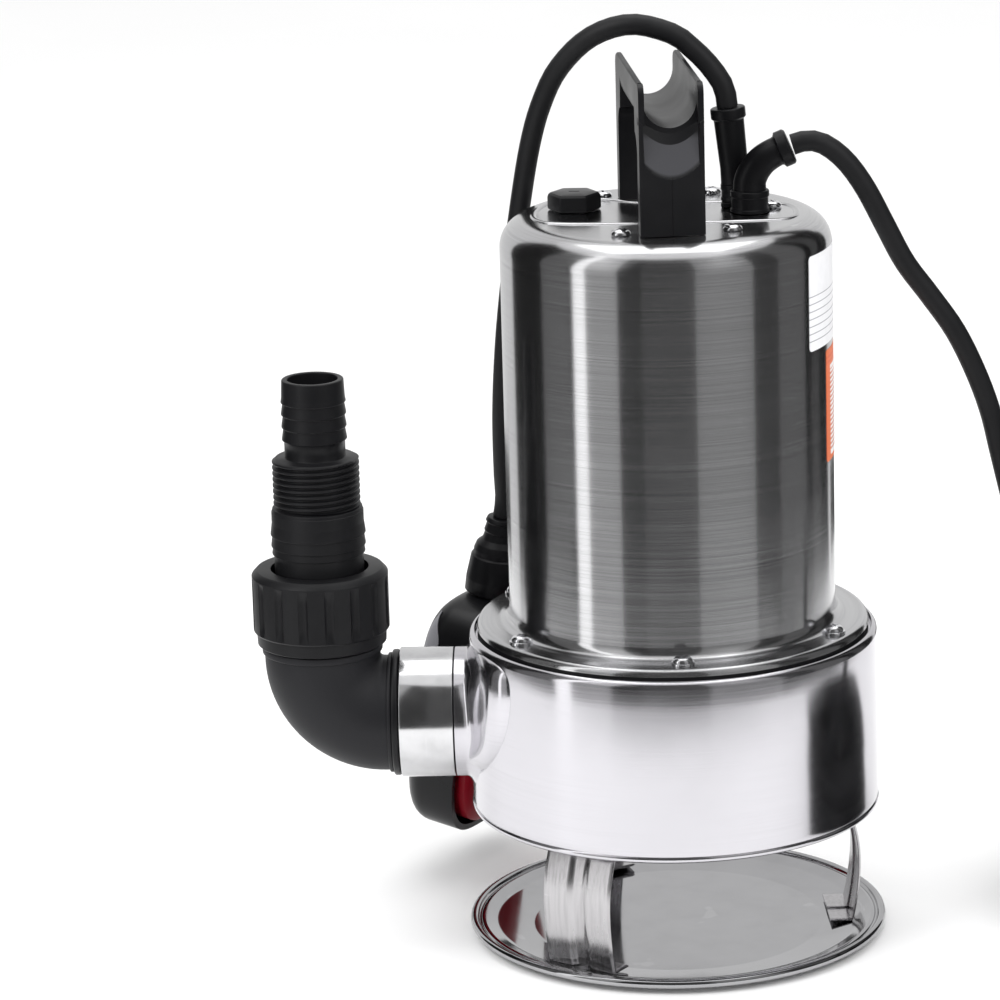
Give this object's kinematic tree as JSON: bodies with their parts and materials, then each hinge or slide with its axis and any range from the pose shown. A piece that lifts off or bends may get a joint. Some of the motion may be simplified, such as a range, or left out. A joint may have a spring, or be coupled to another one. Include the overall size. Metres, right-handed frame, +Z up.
{
  "type": "submersible pump",
  "caption": "Stainless submersible drainage pump with float switch, swivelling outlet elbow, stepped hose adapter, carrying handle and coiled supply cord.",
  "frame": {"origin": "centre of the base plate's flat underside, on the pump's shaft axis", "axes": "+Z up along the shaft, -X along the outlet's axis, +Y towards the float switch's side"},
  "size_m": [0.4822, 0.2099, 0.3532],
  "materials": {
    "stainless": "satin to polished sheet, brushed lines round the shells",
    "screw_steel": "bright plated",
    "motor_steel": "bare machined metal",
    "copper_winding": null,
    "black_plastic": "moulded, semi-matt",
    "red_plastic": "moulded, semi-matt",
    "grey_plastic": "moulded, glass-filled",
    "black_rubber": "moulded rubber",
    "seal_ceramic": null,
    "cord_rubber": "matt cord sheath"
  },
  "bodies": {
    "pump": {"base_plate": "stainless", "capacitor": "grey_plastic", "casing_gasket": "black_rubber", "coil_tie": "black_rubber", "cover_screw_1": "screw_steel", "cover_screw_2": "screw_steel", "cover_screw_3": "screw_steel", "cover_screw_4": "screw_steel", "cover_screw_5": "screw_steel", "flange_screw_1": "screw_steel", "flange_screw_2": "screw_steel", "flange_screw_3": "screw_steel", "flange_screw_4": "screw_steel", "flange_screw_5": "screw_steel", "flange_screw_6": "screw_steel", "float_cable": "cord_rubber", "float_gland": "black_rubber", "float_sleeve": "black_rubber", "gland_plate": "black_rubber", "handle": "black_plastic", "leg_back": "stainless", "leg_front": "stainless", "leg_right": "stainless", "lip_seal": "black_rubber", "lower_bearing": "stainless", "motor_casing": "stainless", "outlet_socket": "stainless", "plug_body": "black_rubber", "plug_pin_1": "screw_steel", "plug_pin_2": "screw_steel", "power_cord": "cord_rubber", "power_cord_coil": "cord_rubber", "power_cord_tail": "cord_rubber", "power_gland": "black_rubber", "power_sleeve": "black_rubber", "pump_casing": "stainless", "seal_plate": "motor_steel", "seal_seat": "seal_ceramic", "stator_core": "motor_steel", "suction_plate": "stainless", "upper_bearing": "stainless", "upper_bracket": "motor_steel", "vent_plug": "black_plastic", "winding_lower": "copper_winding", "winding_upper": "copper_winding"},
    "rotor": {"shaft": "stainless", "rotor_core": "motor_steel", "impeller": "grey_plastic", "impeller_nut": "screw_steel", "seal_ring": "black_rubber"},
    "outlet": {"elbow": "black_plastic", "elbow_seal": "black_rubber", "adapter_gasket": "black_rubber", "hose_adapter": "black_plastic"},
    "nut": {"union_nut": "black_plastic"},
    "float": {"float_shell_outer": "black_plastic", "float_shell_inner": "red_plastic", "float_boot": "black_rubber", "float_microswitch": "grey_plastic"},
    "ball": {"float_ball": "stainless"}
  },
  "joints": [
    {"name": "shaft_spin", "type": "hinge", "parent": "pump", "child": "rotor", "pos_m": [0, 0, 0.12], "axis": [0, 0, 1], "continuous": true},
    {"name": "elbow_swivel", "type": "hinge", "parent": "pump", "child": "outlet", "pos_m": [-0.105, 0, 0.0873], "axis": [1, 0, 0], "range_deg": [-90, 90]},
    {"name": "union_nut_turn", "type": "hinge", "parent": "outlet", "child": "nut", "pos_m": [-0.1344, 0, 0.133], "axis": [0, 0, 1], "continuous": true},
    {"name": "float_swing", "type": "hinge", "parent": "pump", "child": "float", "pos_m": [-0.063, 0.056, 0.22], "axis": [0.7071, 0.7071, 0], "range_deg": [0, 110], "deforming": ["float_cable"]},
    {"name": "ball_roll", "type": "slide", "parent": "float", "child": "ball", "axis": [0.1394, -0.071, 0.9877], "range_m": [0, 0.02]}
  ]
}
